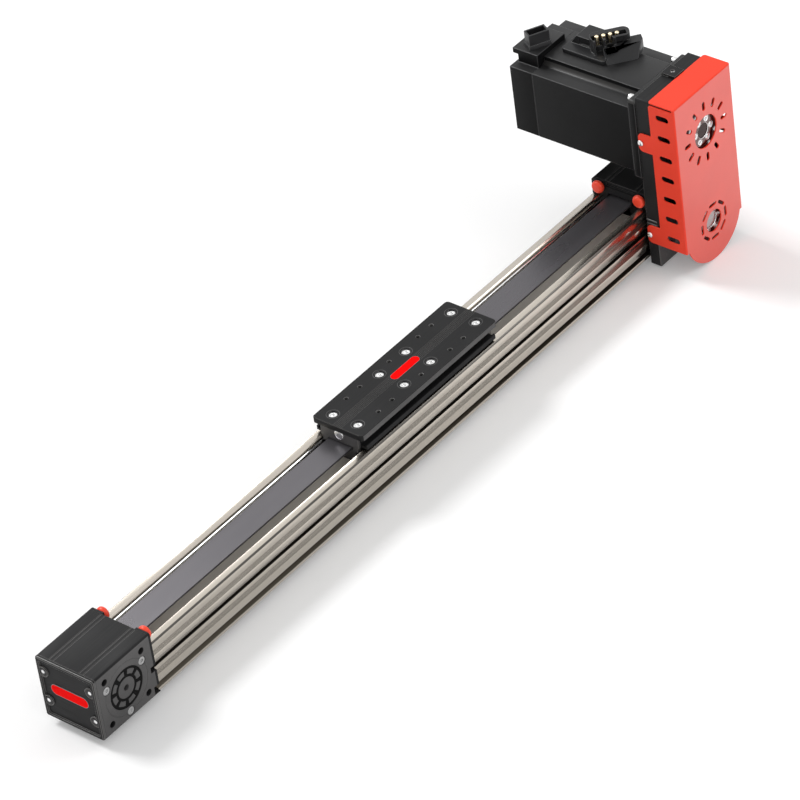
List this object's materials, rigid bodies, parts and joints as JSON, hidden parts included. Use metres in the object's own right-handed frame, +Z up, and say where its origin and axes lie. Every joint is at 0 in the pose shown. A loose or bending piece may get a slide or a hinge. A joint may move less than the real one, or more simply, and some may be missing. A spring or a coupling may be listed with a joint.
{
  "type": "linear module",
  "caption": "Belt-driven linear module: a carriage on guide rods in an aluminium profile, with a servo motor mounted beside one end behind a sheet-metal belt cover.",
  "frame": {"origin": "middle of the base profile's underside, half way along the profile", "axes": "+X along the module from the idler end to the drive end, +Z up from the mounting face to the carriage's top; the belt cover faces -Y"},
  "size_m": [0.9151, 0.2037, 0.2194],
  "materials": {
    "profile_anodised": "fine champagne anodised, satin",
    "rod_steel": "ground and hardened, bright",
    "black_anodised": "black anodised, satin",
    "grey_anodised": "dark grey anodised, satin",
    "machined_steel": "turned",
    "screw_steel": "polished",
    "bumper_rubber": "smooth",
    "belt_rubber": "smooth back",
    "star_rubber": "matt",
    "label_red": "plain, glossy",
    "cover_red": "powder coated, satin",
    "motor_black": "black painted, satin",
    "motor_plastic": "fine grained",
    "contact_gold": "plated",
    "shoe_plastic": "smooth"
  },
  "bodies": {
    "module": {"base_profile": "profile_anodised", "guide_rods": "rod_steel", "idler_housing": "black_anodised", "drive_housing": "black_anodised", "idler_face_plate": "black_anodised", "drive_face_plate": "black_anodised", "idler_end_cap": "black_anodised", "drive_end_cap": "black_anodised", "end_cap_screws": "screw_steel", "profile_screws": "screw_steel", "cap_screws": "machined_steel", "bumpers": "bumper_rubber", "idler_bearings": "machined_steel", "drive_bearings": "machined_steel", "idler_bearing_caps": "grey_anodised", "drive_bearing_caps": "grey_anodised", "main_belt": "belt_rubber", "end_label": "label_red", "adapter_plate": "black_anodised", "adapter_screws": "screw_steel", "tension_block": "black_anodised", "tension_screw": "screw_steel", "reducer_cover": "cover_red", "cover_screws": "screw_steel", "reduction_belt": "belt_rubber", "motor_flange": "motor_black", "motor_body": "motor_black", "motor_rear_cover": "motor_black", "motor_screws": "screw_steel", "power_connector": "motor_plastic", "contact_pins": "contact_gold", "signal_socket": "motor_plastic"},
    "carriage": {"carriage_plate": "black_anodised", "carriage_body": "black_anodised", "carriage_end_plates": "grey_anodised", "carriage_end_screws": "screw_steel", "carriage_screws": "screw_steel", "guide_shoes": "shoe_plastic", "belt_clamps": "machined_steel", "carriage_label": "label_red"},
    "idler_rotor": {"idler_pulley": "machined_steel", "idler_shaft": "machined_steel", "idler_coupling_hubs": "grey_anodised", "idler_coupling_stars": "star_rubber"},
    "drive_rotor": {"drive_pulley": "machined_steel", "drive_shaft": "machined_steel", "drive_coupling_hub": "grey_anodised", "drive_coupling_star": "star_rubber", "driven_reduction_pulley": "machined_steel", "driven_clamp_ring": "screw_steel", "driven_clamp_screws": "screw_steel"},
    "motor_rotor": {"motor_shaft": "machined_steel", "motor_reduction_pulley": "machined_steel", "motor_clamp_ring": "screw_steel", "motor_clamp_screws": "screw_steel"}
  },
  "joints": [
    {"name": "carriage_slide", "type": "slide", "parent": "module", "child": "carriage", "axis": [1, 0, 0], "range_m": [-0.3015, 0.2295]},
    {"name": "idler_spin", "type": "hinge", "parent": "module", "child": "idler_rotor", "pos_m": [-0.414, 0, 0.035], "axis": [0, 1, 0], "continuous": true},
    {"name": "drive_spin", "type": "hinge", "parent": "module", "child": "drive_rotor", "pos_m": [0.414, 0, 0.035], "axis": [0, 1, 0], "continuous": true},
    {"name": "motor_spin", "type": "hinge", "parent": "module", "child": "motor_rotor", "pos_m": [0.414, -0.035, 0.142], "axis": [0, 1, 0], "continuous": true}
  ],
  "couplings": [
    {"joint": "idler_spin", "follows": "carriage_slide", "rad_per_m": 52.36},
    {"joint": "drive_spin", "follows": "carriage_slide", "rad_per_m": 52.36},
    {"joint": "motor_spin", "follows": "carriage_slide", "rad_per_m": 52.36}
  ]
}
